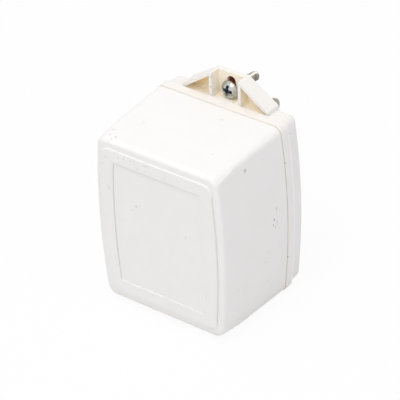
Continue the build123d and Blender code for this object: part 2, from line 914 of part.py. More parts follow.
os.makedirs("parts", exist_ok=True)
save("front_shell", front_shell())
save("rear_shell", rear_shell())
save("left_blade", blade(-1))
save("right_blade", blade(1))
save("blade_retainer", blade_retainer())
save("mounting_screw", mounting_screw())
save("retaining_washer", retaining_washer())
save("e_laminations", e_laminations())
save("i_laminations", i_laminations())
save("bobbin", bobbin())
save("primary_pins", pins(-1))
save("secondary_pins", pins(1))
save("primary_winding", winding(-1))
save("secondary_winding", winding(1))
save("primary_tape", winding_tape(-1))
save("secondary_tape", winding_tape(1))
save("thermal_cutoff", thermal_cutoff())
save("cutoff_sleeve", cutoff_sleeve())
live_lead, cutoff_pin_wire, cutoff_blade_wire = primary_leads()
save("primary_lead", live_lead)
save("cutoff_pin_wire", cutoff_pin_wire)
save("cutoff_blade_wire", cutoff_blade_wire)
save("left_secondary_lead", secondary_lead(0))
save("right_secondary_lead", secondary_lead(1))
save("terminal_block", terminal_block())
save("left_terminal_plate", terminal_plate(-1))
save("right_terminal_plate", terminal_plate(1))
save("left_terminal_screw", terminal_screw(-1))
save("right_terminal_screw", terminal_screw(1))
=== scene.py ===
import json
import math

import bmesh
import bpy
from mathutils import Matrix, Vector


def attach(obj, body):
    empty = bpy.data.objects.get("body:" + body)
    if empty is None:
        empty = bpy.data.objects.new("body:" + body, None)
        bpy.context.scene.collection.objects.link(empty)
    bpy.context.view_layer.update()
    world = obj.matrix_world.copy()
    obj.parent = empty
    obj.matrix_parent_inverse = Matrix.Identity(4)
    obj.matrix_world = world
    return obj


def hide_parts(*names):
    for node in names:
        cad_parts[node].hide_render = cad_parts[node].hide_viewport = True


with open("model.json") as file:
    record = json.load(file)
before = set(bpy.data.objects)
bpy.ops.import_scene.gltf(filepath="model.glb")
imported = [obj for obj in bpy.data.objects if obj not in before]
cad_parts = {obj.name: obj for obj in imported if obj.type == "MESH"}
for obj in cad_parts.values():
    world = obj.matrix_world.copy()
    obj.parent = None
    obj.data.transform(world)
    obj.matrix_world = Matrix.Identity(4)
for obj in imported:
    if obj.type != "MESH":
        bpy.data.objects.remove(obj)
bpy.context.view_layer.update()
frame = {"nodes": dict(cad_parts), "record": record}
MM = 0.001

# The screw hangs loose in its slot, as in the part's source
SCREW_SEAT = Vector((-0.2, -2.752, 36.684)) * MM
SCREW_DROOP = math.radians(5.6)
SCREW_TURN = math.radians(3.5)
SCREW_LENGTH = 14.3 * MM
SCREW_NECK_RADIUS = 1.4 * MM
SCREW_THREAD_START = 3.5 * MM
SCREW_POINT = 0.6 * MM
SCREW_MAJOR_RADIUS = 1.75 * MM
SCREW_MINOR_RADIUS = 1.27 * MM
SCREW_PITCH = 25.4 / 32 * MM
SCREW_AROUND = 64
SCREW_ROWS_PER_TURN = 8
HEAD_RADIUS = 3.3 * MM
HEAD_HEIGHT = 1.9 * MM
HEAD_SIDE = 0.6 * MM
HEAD_EDGE = 0.12 * MM
# How much of the dome is a plain sphere, and how sharply the rest of it drops at its rim
DOME_SPHERE_SHARE = 0.35
DOME_RIM_POWER = 2.6
DOME_STEPS = 18
CROSS_TURN = math.radians(4.0)
# The cutter for the cross recess, from above the head down: depth under the head's top, and the
# reach, half width and inner corner of its wings; below the last level it ends in a point
CROSS_LEVELS = [
    (-0.8 * MM, 3.0 * MM, 0.72 * MM, 1.1 * MM),
    (0.2 * MM, 2.25 * MM, 0.58 * MM, 0.86 * MM),
    (1.5 * MM, 0.9 * MM, 0.34 * MM, 0.5 * MM),
]
CROSS_POINT = 0.25 * MM
WORN_EDGE = 0.06 * MM
WORN_EDGE_ANGLE = math.radians(38)
SHARP_ANGLE = math.radians(32)
# The thread's height, as a share, falls from FLANK_TOP by this slope and is cut flat at 1 and 0
FLANK_SLOPE = 1.4
FLANK_TOP = 1.2
# Points nearer than SEAM become one, and what is nearer the screw's end than AT_END is on it
SEAM = 2e-6
AT_END = 1e-7
# How far the neck goes on past the thread's start until its edges are worn, when that is cut off
NECK_STUB = 0.3 * MM
# Which of the screw's material slots the thread has
THREAD_INDEX = 1

# Where the case's surfaces lie
PARTING_Y = -10.1 * MM
CASE_BOTTOM_Z = -34.0 * MM
CASE_DRAFT = math.tan(math.radians(2.2))
NOTCH_HALF_WIDTH = 5.5 * MM
NOTCH_BACK_Y = -2.05 * MM
EAR_FRONT_Y = -6.1 * MM
EAR_FLOOR_Z = 33.35 * MM
POCKET_INNER_X = 6.6 * MM
POCKET_INNER_TOP_Z = 41.5 * MM
POCKET_SLOPE = 0.71
POCKET_ROOF_SLACK = 0.4 * MM
SLOT_HALF_WIDTH = 2.4 * MM
SLOT_LOW_Z = 34.5 * MM
SLOT_HIGH_Z = 42.0 * MM
# How far past a surface a tint still counts as on it
ON_SURFACE = 0.1 * MM

# The front face, its raised panel and the panel's recess, with bowed sides; what lies before
# FRONT_Y is on that face
FRONT_Y = -45.3 * MM
BOW_RADIUS = 271.0 * MM
PANEL_HALF_WIDTH = 24.24 * MM
PANEL_LINE_HALF_HEIGHT = 26.5 * MM
RECESS_HALF_WIDTH = 18.89 * MM
RECESS_HALF_HEIGHT = 24.34 * MM

# Painted highlights and painted shade along the rim's back edge: where on Y, half width, colour and
# strength
RIM_LINES = [
    (-6.85 * MM, 0.35 * MM, "#FFFFFF", 0.45),
    (-6.42 * MM, 0.22 * MM, "#C4BAB4", 0.4),
    (-5.2 * MM, 0.35 * MM, "#FFFFFF", 0.4),
]
# The case's own colour, its haze and the tints laid over them
CASE_COLOUR = "#EBE9E8"
CASE_HAZE_COLOUR = "#EAE8E6"
WARM_WHITE = "#E9E3DA"
LOW_BROWN_CAST = "#D9CDBF"
# Painted shade along the bottom edge
BOTTOM_EDGE_SHADE = "#B8A691"
# Painted warm light in the ear's notch, and painted pale light and a painted yellow glow in its
# pockets
NOTCH_WARM_LIGHT = "#F6EBD6"
POCKET_PALE_LIGHT = "#FFFBF0"
POCKET_WARM_GLOW = "#FFE19C"
# Painted red reflection of the fibre washer on the slot's walls
WASHER_RED_REFLECTION = "#F2D3C4"
# Painted shade for the joint between the shells
JOINT_SHADE = "#D6C8B0"
# Painted shade on the sides of the panel's and recess's steps
STEP_SHADE_COLOUR = "#B5AB99"
# Over what share of a mark's size the noise moves its edge
MARK_RAGGEDNESS = 0.7
ABS_IOR = 1.54
CASE_ROUGHNESS = 0.52
CASE_HAZE_ROUGHNESS = 0.6
CASE_GRAIN_STRENGTH = 0.05

# The photograph's camera, worked out from the case's straight edges
FRAME_PIXELS = 400
FOCAL_PIXELS = 2390.7
CAMERA_AZIMUTH = math.radians(37.584)
CAMERA_ELEVATION = math.radians(34.283)
CAMERA_ROLL = math.radians(-2.514)
CAMERA_DISTANCE = 828.6 * MM
CAMERA_TARGET = Vector((0.0, -10.1, 0.0)) * MM
TARGET_PIXEL = (221.785, 188.715)
SENSOR_WIDTH = 36.0
CLIP_NEAR = 0.05
CLIP_FAR = 20.0

FLOOR_HEIGHT = -34.32 * MM
FLOOR_HALF = 4.0
FLOOR_COLOUR = "#E8E8E8"
FLOOR_GLOW = 0.93
WORLD_STRENGTH = 0.6
# Name, place in metres, size, watts and colour of each lamp
LAMPS = [
    ("overhead", (-0.1, -0.25, 1.1), 0.9, 6.1, "#FFFFFF"),
    ("front high", (0.0, -0.9, 0.85), 0.6, 2.4, "#FFFFFF"),
    ("right", (1.0, -0.35, 0.5), 0.6, 1.9, "#F6F8FF"),
]

# How much rougher a metal is where it is tarnished, and a plastic where it is mottled
TARNISH_ROUGHENS = 0.15
MOTTLE_ROUGHENS = 0.08
GRAIN_STRENGTH = 0.5

# The Mix node names its colour sockets like its number sockets, so they go by index
MIX_BEFORE = 6
MIX_AFTER = 7
MIX_RESULT = 2


def linear(hex_colour):
    """sRGB hex to the linear colour that shaders take."""
    channels = [int(hex_colour[i : i + 2], 16) / 255 for i in (1, 3, 5)]
    return [c / 12.92 if c <= 0.04045 else ((c + 0.055) / 1.055) ** 2.4 for c in channels] + [1.0]


def add(tree, kind, links=(), **settings):
    """Adds a node. A setting is its own or a socket's default value; a link is (socket, source)."""
    node = tree.nodes.new(kind)
    for name, value in settings.items():
        if hasattr(node, name):
            setattr(node, name, value)
        else:
            node.inputs[name.replace("_", " ")].default_value = value
    for socket, source in links:
        tree.links.new(source, node.inputs[socket])
    return node


def math_step(tree, operation, *values, clamp=False):
    """Result of one sum on sockets or plain numbers."""
    node = add(tree, "ShaderNodeMath", operation=operation, use_clamp=clamp)
    for index, value in enumerate(values):
        if isinstance(value, (int, float)):
            node.inputs[index].default_value = value
        else:
            tree.links.new(value, node.inputs[index])
    return node.outputs[0]


def ramp(tree, value, low, high, start=0.0, end=1.0):
    """Share that goes smoothly from start to end as the value goes from low to high."""
    node = add(
        tree,
        "ShaderNodeMapRange",
        [("Value", value)],
        interpolation_type="SMOOTHSTEP",
        From_Min=low,
        From_Max=high,
        To_Min=start,
        To_Max=end,
    )
    return node.outputs["Result"]


def tinted(tree, share, before, colour):
    """Colour socket that goes from the one before to a new colour by a share."""
    node = add(tree, "ShaderNodeMix", [("Factor", share)], data_type="RGBA")
    if isinstance(before, str):
        node.inputs[MIX_BEFORE].default_value = linear(before)
    else:
        tree.links.new(before, node.inputs[MIX_BEFORE])
    node.inputs[MIX_AFTER].default_value = linear(colour)
    return node.outputs[MIX_RESULT]


def noise(tree, place, size_mm, detail=2.0, roughness=0.5):
    """Noise whose features are about the given size across."""
    node = add(
        tree,
        "ShaderNodeTexNoise",
        [("Vector", place)],
        Scale=1 / (size_mm * MM),
        Detail=detail,
        Roughness=roughness,
    )
    return node.outputs[0]


def new_material(name):
    """Material with an empty tree, its surface shader and its Object coordinates."""
    material = bpy.data.materials.new(name)
    material.use_nodes = True
    tree = material.node_tree
    tree.nodes.clear()
    output = tree.nodes.new("ShaderNodeOutputMaterial")
    surface = tree.nodes.new("ShaderNodeBsdfPrincipled")
    tree.links.new(surface.outputs["BSDF"], output.inputs["Surface"])
    place = add(tree, "ShaderNodeTexCoord").outputs["Object"]
    return material, tree, surface, place


def relief(tree, surface, height, depth_mm, strength, below=None):
    """Puts a height pattern of a real depth on the surface, over the normals below it if any."""
    links = [("Height", height)]
    if below is not None:
        links.append(("Normal", below))
    bump = add(tree, "ShaderNodeBump", links, Strength=strength, Distance=depth_mm * MM)
    tree.links.new(bump.outputs["Normal"], surface.inputs["Normal"])


# Marks that the photograph shows on the case: middle and size in millimetres, colour and strength.
# A mark is a spot that fades at its edge; a long one is a scuff along its longest size.
DUST = "#8F8880"
BROWN = "#A8926E"
INK = "#7C777A"
CASE_MARKS = [
    # Right side: a round spot, a broken upright scuff and a few specks
    ((25.66, -30.5, 28.4), (0.9, 0.8, 0.8), "#B0AAAC", 0.75),
    ((27.65, -16.1, 5.6), (0.6, 0.15, 1.0), INK, 0.8),
    ((27.65, -16.15, 3.95), (0.6, 0.12, 0.7), INK, 0.45),
    ((27.68, -16.2, 0.2), (0.6, 0.15, 1.3), INK, 0.7),
    ((27.65, -17.72, 2.0), (0.6, 0.28, 0.68), INK, 1.0),
    ((27.65, -18.25, 0.0), (0.6, 0.24, 0.48), INK, 0.9),
    ((27.65, -17.1, -1.4), (0.6, 0.3, 0.3), INK, 0.7),
    ((27.35, -21.2, -9.8), (0.6, 0.32, 0.32), DUST, 0.3),
    ((27.2, -22.7, -12.9), (0.6, 0.3, 0.3), DUST, 0.3),
    ((26.7, -21.1, -22.1), (0.6, 0.28, 0.28), DUST, 0.3),
    ((26.46, -37.0, -16.4), (0.6, 0.26, 0.26), DUST, 0.3),
    ((27.5, -10.0, 20.6), (0.6, 0.35, 0.3), "#6E5A3C", 0.5),
    ((27.3, -10.0, -18.3), (0.6, 0.35, 0.3), "#6E5A3C", 0.45),
    ((25.67, -4.66, 28.85), (0.6, 0.35, 0.35), DUST, 0.45),
    # Front: two dots and a rubbed mark in the recess, a scratch, and specks along the panel's top
    ((-9.25, -45.75, 9.7), (0.36, 0.5, 0.36), INK, 0.6),
    ((-11.2, -45.75, 7.5), (0.26, 0.5, 0.26), DUST, 0.4),
    ((11.3, -45.75, 4.7), (0.28, 0.5, 0.75), BROWN, 0.3),
    ((19.1, -46.1, -16.2), (0.18, 0.5, 1.7), DUST, 0.2),
    ((-20.8, -46.1, 25.9), (0.36, 0.5, 0.36), DUST, 0.3),
    ((-22.15, -46.1, 22.8), (0.3, 0.5, 0.3), DUST, 0.3),
    ((-15.3, -46.1, 27.3), (0.5, 0.5, 0.3), DUST, 0.22),
    ((-13.0, -46.1, 27.6), (0.26, 0.5, 0.8), DUST, 0.25),
    ((-10.2, -46.1, 27.9), (0.3, 0.5, 0.3), DUST, 0.28),
    ((-7.2, -46.1, 25.85), (0.32, 0.5, 0.32), DUST, 0.32),
    ((-3.7, -46.1, 28.1), (1.3, 0.5, 0.45), BROWN, 0.14),
    ((-4.3, -46.1, 25.7), (0.34, 0.5, 0.34), BROWN, 0.28),
    ((4.1, -46.1, 26.0), (0.24, 0.5, 0.24), DUST, 0.35),
    ((-20.4, -46.1, 13.5), (0.9, 0.5, 1.4), BROWN, 0.12),
    # Top: faint brown spots, thicker towards the left front corner
    ((-21.9, -39.7, 32.9), (0.7, 0.7, 0.5), "#A9A8B2", 0.25),
    ((-19.05, -44.4, 32.6), (0.32, 0.4, 0.5), DUST, 0.45),
    ((-18.45, -42.85, 32.7), (0.55, 0.5, 0.5), BROWN, 0.45),
    ((-21.1, -42.7, 32.75), (0.45, 0.45, 0.5), BROWN, 0.4),
    ((-15.5, -31.25, 33.2), (0.4, 0.4, 0.5), BROWN, 0.3),
    ((6.0, -16.2, 33.8), (0.75, 0.75, 0.5), "#B4A48A", 0.25),
    ((15.1, -33.9, 33.1), (0.4, 0.4, 0.5), BROWN, 0.3),
    # Ear: specks on the left rib's edge, on the notch's floor and in the left pocket
    ((-5.9, -6.1, 41.4), (0.3, 0.5, 0.3), INK, 0.85),
    ((-5.85, -6.1, 37.5), (0.3, 0.5, 0.3), INK, 0.85),
    ((2.66, -4.8, 33.35), (0.4, 0.32, 0.5), INK, 0.9),
    ((-12.5, -2.05, 34.5), (0.3, 0.5, 0.25), "#A07C4C", 0.4),
    ((-14.0, -4.75, 33.35), (0.26, 0.26, 0.5), "#B09468", 0.4),
]


def ear_painted_light(tree, width, depth, height, colour):
    """Painted light on the ear's sheltered plastic: painted warm light in the notch, and in the
    pockets a pale painted light with a painted yellow glow towards the wall and the roof, where
    light bounces warm.
    The slot's walls take a painted red reflection of the fibre washer behind them."""
    inward = ramp(tree, depth, EAR_FRONT_Y - 0.3 * MM, NOTCH_BACK_Y - 1.0 * MM)
    front_of_wall = math_step(tree, "LESS_THAN", depth, NOTCH_BACK_Y + ON_SURFACE)
    above_floor = math_step(tree, "GREATER_THAN", height, EAR_FLOOR_Z - ON_SURFACE)
    sheltered = math_step(tree, "MULTIPLY", inward, front_of_wall)
    sheltered = math_step(tree, "MULTIPLY", sheltered, above_floor)

    # Painted warm light in the notch
    in_notch = math_step(tree, "LESS_THAN", width, NOTCH_HALF_WIDTH + ON_SURFACE)
    notch = math_step(tree, "MULTIPLY", sheltered, in_notch)
    notch = math_step(tree, "MULTIPLY", notch, 0.8)
    colour = tinted(tree, notch, colour, NOTCH_WARM_LIGHT)

    # Painted pale light on the pocket floors, and a painted yellow glow towards the roof
    roof = math_step(tree, "SUBTRACT", width, POCKET_INNER_X)
    roof = math_step(tree, "MULTIPLY", roof, POCKET_SLOPE)
    roof = math_step(tree, "SUBTRACT", POCKET_INNER_TOP_Z, roof)
    under_roof = math_step(tree, "SUBTRACT", roof, height)
    in_pocket = math_step(tree, "GREATER_THAN", under_roof, -POCKET_ROOF_SLACK)
    beyond_rib = math_step(tree, "GREATER_THAN", width, POCKET_INNER_X - ON_SURFACE)
    in_pocket = math_step(tree, "MULTIPLY", in_pocket, beyond_rib)
    pocket = math_step(tree, "MULTIPLY", sheltered, in_pocket)
    near_roof = ramp(tree, under_roof, 0.0, 5.0 * MM, 0.9, 0.35)
    off_floor = ramp(tree, height, EAR_FLOOR_Z + ON_SURFACE, EAR_FLOOR_Z + 1.5 * MM, 0.35, 1.0)
    warm_glow = math_step(tree, "MULTIPLY", near_roof, off_floor)
    warm_glow = math_step(tree, "MULTIPLY", pocket, warm_glow)
    colour = tinted(tree, pocket, colour, POCKET_PALE_LIGHT)
    colour = tinted(tree, warm_glow, colour, POCKET_WARM_GLOW)

    # Painted red reflection of the fibre washer on the slot's walls
    in_slot = math_step(tree, "LESS_THAN", width, SLOT_HALF_WIDTH)
    for side, socket, limit in (
        ("GREATER_THAN", depth, NOTCH_BACK_Y + ON_SURFACE),
        ("LESS_THAN", depth, -ON_SURFACE),
        ("GREATER_THAN", height, SLOT_LOW_Z),
        ("LESS_THAN", height, SLOT_HIGH_Z),
    ):
        in_slot = math_step(tree, "MULTIPLY", in_slot, math_step(tree, side, socket, limit))
    return tinted(tree, in_slot, colour, WASHER_RED_REFLECTION)


def panel_step_shade(tree, across_case, depth, height, colour):
    """Painted shade along the recess's left and top edges and at the panel's right foot, the sides
    of the steps that fall in shade. The sides bow, so the distance from the middle is measured as
    if they were straight."""
    width = math_step(tree, "ABSOLUTE", across_case)
    bow = math_step(tree, "MULTIPLY", height, height)
    bow = math_step(tree, "DIVIDE", bow, 2 * BOW_RADIUS)
    bowed_width = math_step(tree, "ADD", width, bow)
    off_middle = math_step(tree, "ABSOLUTE", height)
    on_left = math_step(tree, "LESS_THAN", across_case, 0.0)
    on_right = math_step(tree, "GREATER_THAN", across_case, 0.0)
    on_front = math_step(tree, "LESS_THAN", depth, FRONT_Y)
    edges = [
        (bowed_width, RECESS_HALF_WIDTH, off_middle, RECESS_HALF_HEIGHT, on_left, 0.26),
        (height, RECESS_HALF_HEIGHT, width, RECESS_HALF_WIDTH, on_front, 0.4),
        (bowed_width, PANEL_HALF_WIDTH, off_middle, PANEL_LINE_HALF_HEIGHT, on_right, 0.24),
    ]
    for across, where, along, end, side, share in edges:
        from_edge = math_step(tree, "SUBTRACT", across, where)
        from_edge = math_step(tree, "ABSOLUTE", from_edge)
        line = ramp(tree, from_edge, 0.08 * MM, 0.32 * MM, share, 0.0)
        fade = ramp(tree, along, end - 1.5 * MM, end, 1.0, 0.0)
        for limit in (fade, side, on_front):
            line = math_step(tree, "MULTIPLY", line, limit)
        colour = tinted(tree, line, colour, STEP_SHADE_COLOUR)
    return colour


def rim_painted_light(tree, width, depth, colour):
    """Painted highlights on the rim's back edge and on the tier just behind it, with a thin line of
    painted shade in the step between them.
    """
    sideways = ramp(tree, width, 24.0 * MM, 26.0 * MM)
    for line_y, half, line_colour, share in RIM_LINES:
        from_line = math_step(tree, "SUBTRACT", depth, line_y)
        from_line = math_step(tree, "ABSOLUTE", from_line)
        line = ramp(tree, from_line, half * 0.4, half, share, 0.0)
        line = math_step(tree, "MULTIPLY", line, sideways)
        colour = tinted(tree, line, colour, line_colour)
    return colour


def case_marks(tree, place, colour):
    """Specks and scuffs, their edges broken by a fine noise."""
    ragged = noise(tree, place, 0.5)
    ragged = math_step(tree, "MULTIPLY_ADD", ragged, MARK_RAGGEDNESS, -MARK_RAGGEDNESS / 2)
    for middle, size, mark_colour, strength in CASE_MARKS:
        to_mark = add(tree, "ShaderNodeVectorMath", [(0, place)], operation="SUBTRACT")
        to_mark.inputs[1].default_value = Vector(middle) * MM
        across = add(tree, "ShaderNodeVectorMath", [(0, to_mark.outputs[0])], operation="DIVIDE")
        across.inputs[1].default_value = Vector(size) * MM
        reach = add(tree, "ShaderNodeVectorMath", [(0, across.outputs[0])], operation="LENGTH")
        distance = math_step(tree, "ADD", reach.outputs["Value"], ragged)
        spot = ramp(tree, distance, 0.2, 1.35, strength, 0.0)
        colour = tinted(tree, spot, colour, mark_colour)
    return colour


def moulded_case():
    """Injection-moulded white ABS with a fine eroded mould finish: broad soft highlights, no mirror
    image, and a slightly warm white. Its colour also carries painted warm light in the ear's notch
    and pockets, a painted red reflection in the slot, painted shade in the joint, on the panel's
    steps and along the bottom edge, and painted highlights on the rim's back edge."""
    material, tree, surface, place = new_material("white ABS, moulded with a fine eroded finish")
    axes = add(tree, "ShaderNodeSeparateXYZ", [("Vector", place)]).outputs
    width = math_step(tree, "ABSOLUTE", axes["X"])
    depth, height = axes["Y"], axes["Z"]

    # Handling haze in patches about 6 mm across
    haze = ramp(tree, noise(tree, place, 6.0, 3.0, 0.6), 0.35, 0.75)
    colour = tinted(tree, haze, CASE_COLOUR, CASE_HAZE_COLOUR)

    # The rear shell's top and its ear are a warmer white than the front shell
    behind_joint = math_step(tree, "GREATER_THAN", depth, PARTING_Y)
    warm = ramp(tree, height, 31.0 * MM, 33.5 * MM, 0.0, 0.45)
    warm = math_step(tree, "MULTIPLY", warm, behind_joint)
    colour = tinted(tree, warm, colour, WARM_WHITE)

    # A faint brown cast low on the case, strongest at the bottom and gone 7 mm up
    low_down = ramp(tree, height, CASE_BOTTOM_Z, CASE_BOTTOM_Z + 7.0 * MM, 0.2, 0.0)
    colour = tinted(tree, low_down, colour, LOW_BROWN_CAST)

    # Painted shade along the bottom edge, where the rounded edge turns under; it rises towards the
    # front with the mould's draft
    in_front = math_step(tree, "SUBTRACT", PARTING_Y, depth)
    in_front = math_step(tree, "MULTIPLY", in_front, CASE_DRAFT)
    above_bottom = math_step(tree, "SUBTRACT", height, CASE_BOTTOM_Z)
    above_bottom = math_step(tree, "SUBTRACT", above_bottom, in_front)
    bottom_edge_shade = ramp(tree, above_bottom, 0.2 * MM, 1.5 * MM, 0.5, 0.0)
    colour = tinted(tree, bottom_edge_shade, colour, BOTTOM_EDGE_SHADE)

    colour = ear_painted_light(tree, width, depth, height, colour)

    # Painted warm shade in the joint between the shells, stronger on the sides than on top
    from_joint = math_step(tree, "SUBTRACT", depth, PARTING_Y)
    from_joint = math_step(tree, "ABSOLUTE", from_joint)
    on_side = ramp(tree, width, 24.0 * MM, 27.5 * MM, 0.3, 0.42)
    joint = ramp(tree, from_joint, 0.1 * MM, 0.4 * MM, 1.0, 0.0)
    joint = math_step(tree, "MULTIPLY", joint, on_side)
    colour = tinted(tree, joint, colour, JOINT_SHADE)

    colour = panel_step_shade(tree, axes["X"], depth, height, colour)
    colour = rim_painted_light(tree, width, depth, colour)
    colour = case_marks(tree, place, colour)
    tree.links.new(colour, surface.inputs["Base Color"])

    # Mould grain about 0.25 mm across, drawn at 0.5 mm because the render shows nothing finer
    relief(tree, surface, noise(tree, place, 0.5), 0.02, CASE_GRAIN_STRENGTH)
    rough = ramp(tree, haze, 0.0, 1.0, CASE_ROUGHNESS, CASE_HAZE_ROUGHNESS)
    tree.links.new(rough, surface.inputs["Roughness"])
    surface.inputs["IOR"].default_value = ABS_IOR
    return material


def metal(name, colour, tarnish, patch_mm, roughness, grain_mm, grain_depth_mm, stretch=(1, 1, 1)):
    """Metal with tarnish in patches, and a fine grain that a stretch turns into draw lines."""
    material, tree, surface, place = new_material(name)
    patches = ramp(tree, noise(tree, place, patch_mm, 3.0, 0.6), 0.4, 0.75)
    tree.links.new(tinted(tree, patches, colour, tarnish), surface.inputs["Base Color"])
    rough = ramp(tree, patches, 0.0, 1.0, roughness, roughness + TARNISH_ROUGHENS)
    tree.links.new(rough, surface.inputs["Roughness"])
    drawn = add(tree, "ShaderNodeMapping", [("Vector", place)], Scale=stretch).outputs["Vector"]
    relief(tree, surface, noise(tree, drawn, grain_mm), grain_depth_mm, GRAIN_STRENGTH)
    surface.inputs["Metallic"].default_value = 1.0
    return material


def plastic(name, colour, second, patch_mm, roughness, ior, grain_mm, grain_depth_mm):
    """Moulded, pressed or extruded plastic with a faint mottle and a surface grain."""
    material, tree, surface, place = new_material(name)
    mottle = ramp(tree, noise(tree, place, patch_mm, 3.0, 0.6), 0.35, 0.75)
    tree.links.new(tinted(tree, mottle, colour, second), surface.inputs["Base Color"])
    rough = ramp(tree, mottle, 0.0, 1.0, roughness, roughness + MOTTLE_ROUGHENS)
    tree.links.new(rough, surface.inputs["Roughness"])
    relief(tree, surface, noise(tree, place, grain_mm), grain_depth_mm, GRAIN_STRENGTH)
    surface.inputs["IOR"].default_value = ior
    return material


def striped(material, axis, spacing_mm, depth_mm, dark, dark_share):
    """Adds round edges side by side along one axis: plate edges, or turns of wire or tape, with
    painted shade in the valley between two.
    """
    tree = material.node_tree
    surface = next(node for node in tree.nodes if node.type == "BSDF_PRINCIPLED")
    place = next(node for node in tree.nodes if node.type == "TEX_COORD").outputs["Object"]
    along = add(tree, "ShaderNodeSeparateXYZ", [("Vector", place)]).outputs[axis]
    turn = math_step(tree, "FRACT", math_step(tree, "DIVIDE", along, spacing_mm * MM))
    # Height of a round edge: highest in the middle of each turn; the dark line between two is
    # painted shade
    from_middle = math_step(tree, "MULTIPLY_ADD", turn, 2.0, -1.0)
    crown = math_step(tree, "MULTIPLY", from_middle, from_middle)
    crown = math_step(tree, "SUBTRACT", 1.0, crown)
    below = surface.inputs["Normal"].links[0].from_socket
    relief(tree, surface, crown, depth_mm, 1.0, below)
    colour = surface.inputs["Base Color"].links[0].from_socket
    # Painted shade in the valley between two turns
    valley_shade = ramp(tree, crown, 0.0, 0.45, dark_share, 0.0)
    tree.links.new(tinted(tree, valley_shade, colour, dark), surface.inputs["Base Color"])
    return material


case_material = moulded_case()
# Brass strip, rolled, blanked and nickel plated: a dull warm mirror with fine lines along the blade
blade_material = metal(
    "nickel plate on rolled brass", "#A9A398", "#8B8172", 4.0, 0.26, 0.12, 0.004, (1, 0.08, 1)
)
# Zinc plate with a clear to yellow passivation: bright, with a greenish yellow cast in patches
screw_material = metal(
    "zinc plate with yellow passivation", "#C9CAC8", "#9A9674", 1.6, 0.14, 0.3, 0.003
)
# Rolled thread of the same screw, with reddish brown patches at random over it
thread_material = metal(
    "zinc plate on a rolled thread", "#BEBCB6", "#7C5A50", 1.1, 0.28, 0.25, 0.006
)
# Painted shade and painted dark reflection for the cross recess: dark and half matt, with the
# metal's blue grey through it
recess_shade_material = metal(
    "zinc plate darkened with painted shade", "#6C747E", "#33363B", 0.6, 0.3, 0.2, 0.01
)
# Pressed red fibre sheet: matt, dense and slightly mottled
fibre_material = plastic(
    "vulcanised fibre, pressed red", "#7E2D22", "#6A241C", 1.2, 0.6, 1.5, 0.3, 0.02
)
# Silicon steel plates, stamped, 0.5 mm thick, thinly varnished: dark, with their edges as lines
core_material = striped(
    metal("silicon steel plates, varnished", "#6A6B6E", "#4B4744", 5.0, 0.36, 0.3, 0.01),
    "Y",
    spacing_mm=0.5,
    depth_mm=0.05,
    dark="#2B2A2A",
    dark_share=0.8,
)
# Glass-filled nylon: black with a faint grey swirl of fibres at the surface
bobbin_material = plastic(
    "glass-filled nylon, moulded black", "#26272A", "#303136", 2.0, 0.5, 1.53, 0.2, 0.01
)
# Enamelled wire, 0.35 mm over its enamel, wound turn beside turn: glossy red-brown copper
copper_material = striped(
    metal("enamelled copper wire, wound", "#B4633A", "#9C4F2C", 3.0, 0.28, 0.5, 0.004),
    "X",
    spacing_mm=0.35,
    depth_mm=0.12,
    dark="#5A2A18",
    dark_share=0.7,
)
# Polyester tape wound in overlapping turns: glossy yellow, with the step of each turn's edge
tape_material = striped(
    plastic("polyester tape, yellow", "#D9B53A", "#CFA832", 4.0, 0.28, 1.6, 1.5, 0.02),
    "X",
    spacing_mm=5.15,
    depth_mm=0.04,
    dark="#B08E24",
    dark_share=0.35,
)
# Hot-tinned drawn wire: soft bright grey, slightly uneven
tin_material = metal("tinned copper wire", "#BFC0C0", "#A9AAA8", 1.0, 0.28, 0.2, 0.004)
# Deep-drawn can, plated: clean mirror with draw lines along it
can_material = metal(
    "drawn and plated brass can", "#B8B9BA", "#A3A4A2", 2.0, 0.22, 0.15, 0.003, (0.1, 1, 1)
)
# Shrunk polyester sleeve: milky and glossy
sleeve_material = plastic(
    "polyester sleeve, milky", "#DAD8CE", "#D2D0C4", 2.0, 0.3, 1.6, 0.8, 0.01
)
# Extruded PVC insulation: black and half gloss, faintly uneven
insulation_material = plastic(
    "black PVC insulation, extruded", "#1E1E20", "#26262A", 2.0, 0.4, 1.53, 0.4, 0.01
)
# Compression-moulded phenolic: black, hard and a little uneven
block_material = plastic(
    "phenolic, moulded black", "#1F2022", "#292A2D", 3.0, 0.4, 1.6, 0.35, 0.012
)
# Stamped brass sheet: yellow, dulled in patches
brass_material = metal("stamped brass", "#B79A5E", "#94774A", 2.5, 0.28, 0.2, 0.005)

FINISHES = {
    "case": case_material,
    "blade": blade_material,
    "screw": screw_material,
    "fibre": fibre_material,
    "core": core_material,
    "bobbin": bobbin_material,
    "copper": copper_material,
    "tape": tape_material,
    "tin": tin_material,
    "can": can_material,
    "sleeve": sleeve_material,
    "black_wire": insulation_material,
    "block": block_material,
    "brass": brass_material,
}


def paint(piece, material):
    """Gives every face of a piece one material."""
    if not piece.material_slots:
        piece.data.materials.append(material)
    for entry in piece.material_slots:
        entry.material = material


for part in frame["record"]["subparts"]:
    paint(frame["nodes"][part["node"]], FINISHES[part["material_slot"]])


def circle(shape, radius, z, around):
    """Ring of new points about Z, or a single one at a zero radius."""
    if radius == 0:
        return [shape.verts.new((0, 0, z))]
    angles = [2 * math.pi * i / around for i in range(around)]
    return [shape.verts.new((radius * math.cos(a), radius * math.sin(a), z)) for a in angles]


def turned_shape(profile, around):
    """Shape turned about Z from (radius, height) points; a zero radius is a pole."""
    shape = bmesh.new()
    rings = [circle(shape, radius, z, around) for radius, z in profile]
    for low, high in zip(rings, rings[1:]):
        for i in range(around):
            j = (i + 1) % around
            if len(low) == 1:
                shape.faces.new((low[0], high[i], high[j]))
            elif len(high) == 1:
                shape.faces.new((low[i], low[j], high[0]))
            else:
                shape.faces.new((low[i], low[j], high[j], high[i]))
    bmesh.ops.recalc_face_normals(shape, faces=shape.faces)
    return shape


